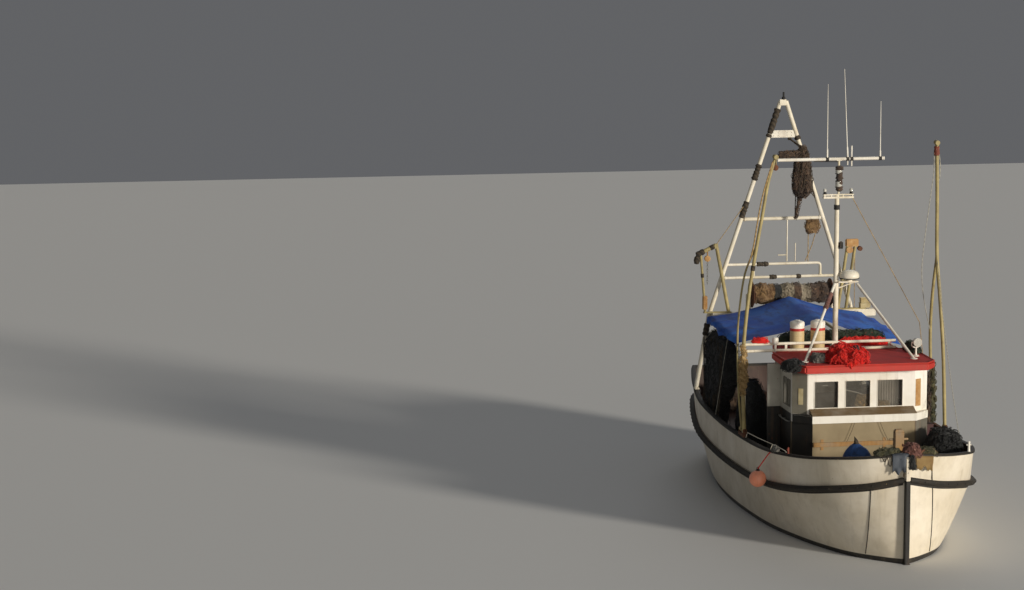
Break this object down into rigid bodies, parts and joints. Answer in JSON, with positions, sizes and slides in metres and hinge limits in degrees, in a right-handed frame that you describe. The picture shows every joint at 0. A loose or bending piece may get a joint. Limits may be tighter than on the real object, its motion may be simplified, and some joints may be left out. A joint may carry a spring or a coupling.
{
  "type": "fishing trawler",
  "caption": "Small fishing trawler with a bluff white hull, forward wheelhouse under a red roof, stern A-frame, net drum, trawl winch, blue awning and two outrigger booms.",
  "frame": {"origin": "amidships on the centreline, at the waterline", "axes": "bow -Y, stern +Y, port +X, starboard -X, up +Z"},
  "size_m": [4.6976, 11.9359, 10.7005],
  "materials": {
    "hull_paint": "satin marine paint, stained",
    "rail_black": "worn black-brown paint",
    "house_white": "semi-gloss white paint",
    "roof_red": "faded red deck paint",
    "gear_cream": "weathered cream paint",
    "boom_tan": "weathered tan paint",
    "rusty_steel": "rusted",
    "steel": "dull",
    "bronze": "dull",
    "window_glass": "tinted",
    "timber": "weathered",
    "red_net": "netting",
    "net_brown": "netting",
    "net_black": "netting",
    "tarp_blue": "woven tarpaulin",
    "fender_coral": "inflated vinyl"
  },
  "bodies": {
    "boat": {"hull": "hull_paint", "bulwark_port": "hull_paint", "bulwark_starboard": "hull_paint", "cap_rail_port": "rail_black", "cap_rail_starboard": "rail_black", "rub_rail_port": "rail_black", "rub_rail_starboard": "rail_black", "wheelhouse_front": "house_white", "wheelhouse_port": "house_white", "wheelhouse_starboard": "house_white", "wheelhouse_aft": "house_white", "wheelhouse_roof": "roof_red", "front_glass": "window_glass", "port_glass": "window_glass", "starboard_glass": "window_glass", "aft_glass": "window_glass", "helm_console": "timber", "helm_wheel": "steel", "mast": "gear_cream", "mast_leg_port": "gear_cream", "mast_leg_starboard": "gear_cream", "mast_yard": "house_white", "radar": "house_white", "boom_rest_beam": "gear_cream", "float_drum_inner": "house_white", "float_drum_outer": "house_white", "searchlight": "steel", "red_net_heap": "red_net", "boom_heel_port": "rusty_steel", "boom_heel_starboard": "rusty_steel", "aframe_leg_port": "gear_cream", "aframe_leg_starboard": "gear_cream", "aframe_head_plate": "house_white", "aframe_crossbar": "gear_cream", "aframe_rail_upper": "gear_cream", "aframe_rail_lower": "gear_cream", "gantry_beam": "gear_cream", "hanging_net": "net_brown", "gallows_starboard": "boom_tan", "gallows_port": "boom_tan", "winch_frame": "rusty_steel", "hatch_coaming": "steel", "tarp": "tarp_blue", "awning_ridge": "boom_tan", "net_heap_starboard": "net_black", "net_heap_foredeck": "net_black", "net_heap_roof": "net_black", "covered_bundle": "tarp_blue", "samson_post": "timber", "anchor": "rusty_steel", "ball_fender": "fender_coral"},
    "rudder": {"rudder": "rusty_steel"},
    "propeller": {"propeller": "bronze"},
    "door": {"wheelhouse_door": "house_white"},
    "hatch_lid": {"hatch_lid": "timber"},
    "net_drum": {"net_drum": "net_brown"},
    "winch_drum": {"winch_drum": "rusty_steel"},
    "boom_port": {"boom_port": "boom_tan"},
    "boom_starboard": {"boom_starboard": "boom_tan"}
  },
  "joints": [
    {"name": "rudder_turn", "type": "hinge", "parent": "boat", "child": "rudder", "pos_m": [0, 4.95, -0.88], "axis": [0, 0, 1], "range_deg": [-35, 35]},
    {"name": "propeller_spin", "type": "hinge", "parent": "boat", "child": "propeller", "pos_m": [0, 4.4, -0.86], "axis": [0, 1, 0], "continuous": true},
    {"name": "door_swing", "type": "hinge", "parent": "boat", "child": "door", "pos_m": [-0.962, -0.07, 2.15], "axis": [0, 0, 1], "range_deg": [0, 95]},
    {"name": "hatch_lid_swing", "type": "hinge", "parent": "boat", "child": "hatch_lid", "pos_m": [0, 1.925, 1.5853], "axis": [1, 0, 0], "range_deg": [0, 95]},
    {"name": "net_drum_spin", "type": "hinge", "parent": "boat", "child": "net_drum", "pos_m": [0.14, 3.6, 3.94], "axis": [1, 0, 0], "continuous": true},
    {"name": "winch_drum_spin", "type": "hinge", "parent": "boat", "child": "winch_drum", "pos_m": [0, 1.28, 1.5003], "axis": [1, 0, 0], "continuous": true},
    {"name": "boom_port_swing", "type": "hinge", "parent": "boat", "child": "boom_port", "pos_m": [2.095, -1.1, 1.8503], "axis": [0, 1, 0], "range_deg": [0, 80]},
    {"name": "boom_starboard_swing", "type": "hinge", "parent": "boat", "child": "boom_starboard", "pos_m": [-2.095, -1.1, 1.8503], "axis": [0, -1, 0], "range_deg": [0, 80]}
  ]
}
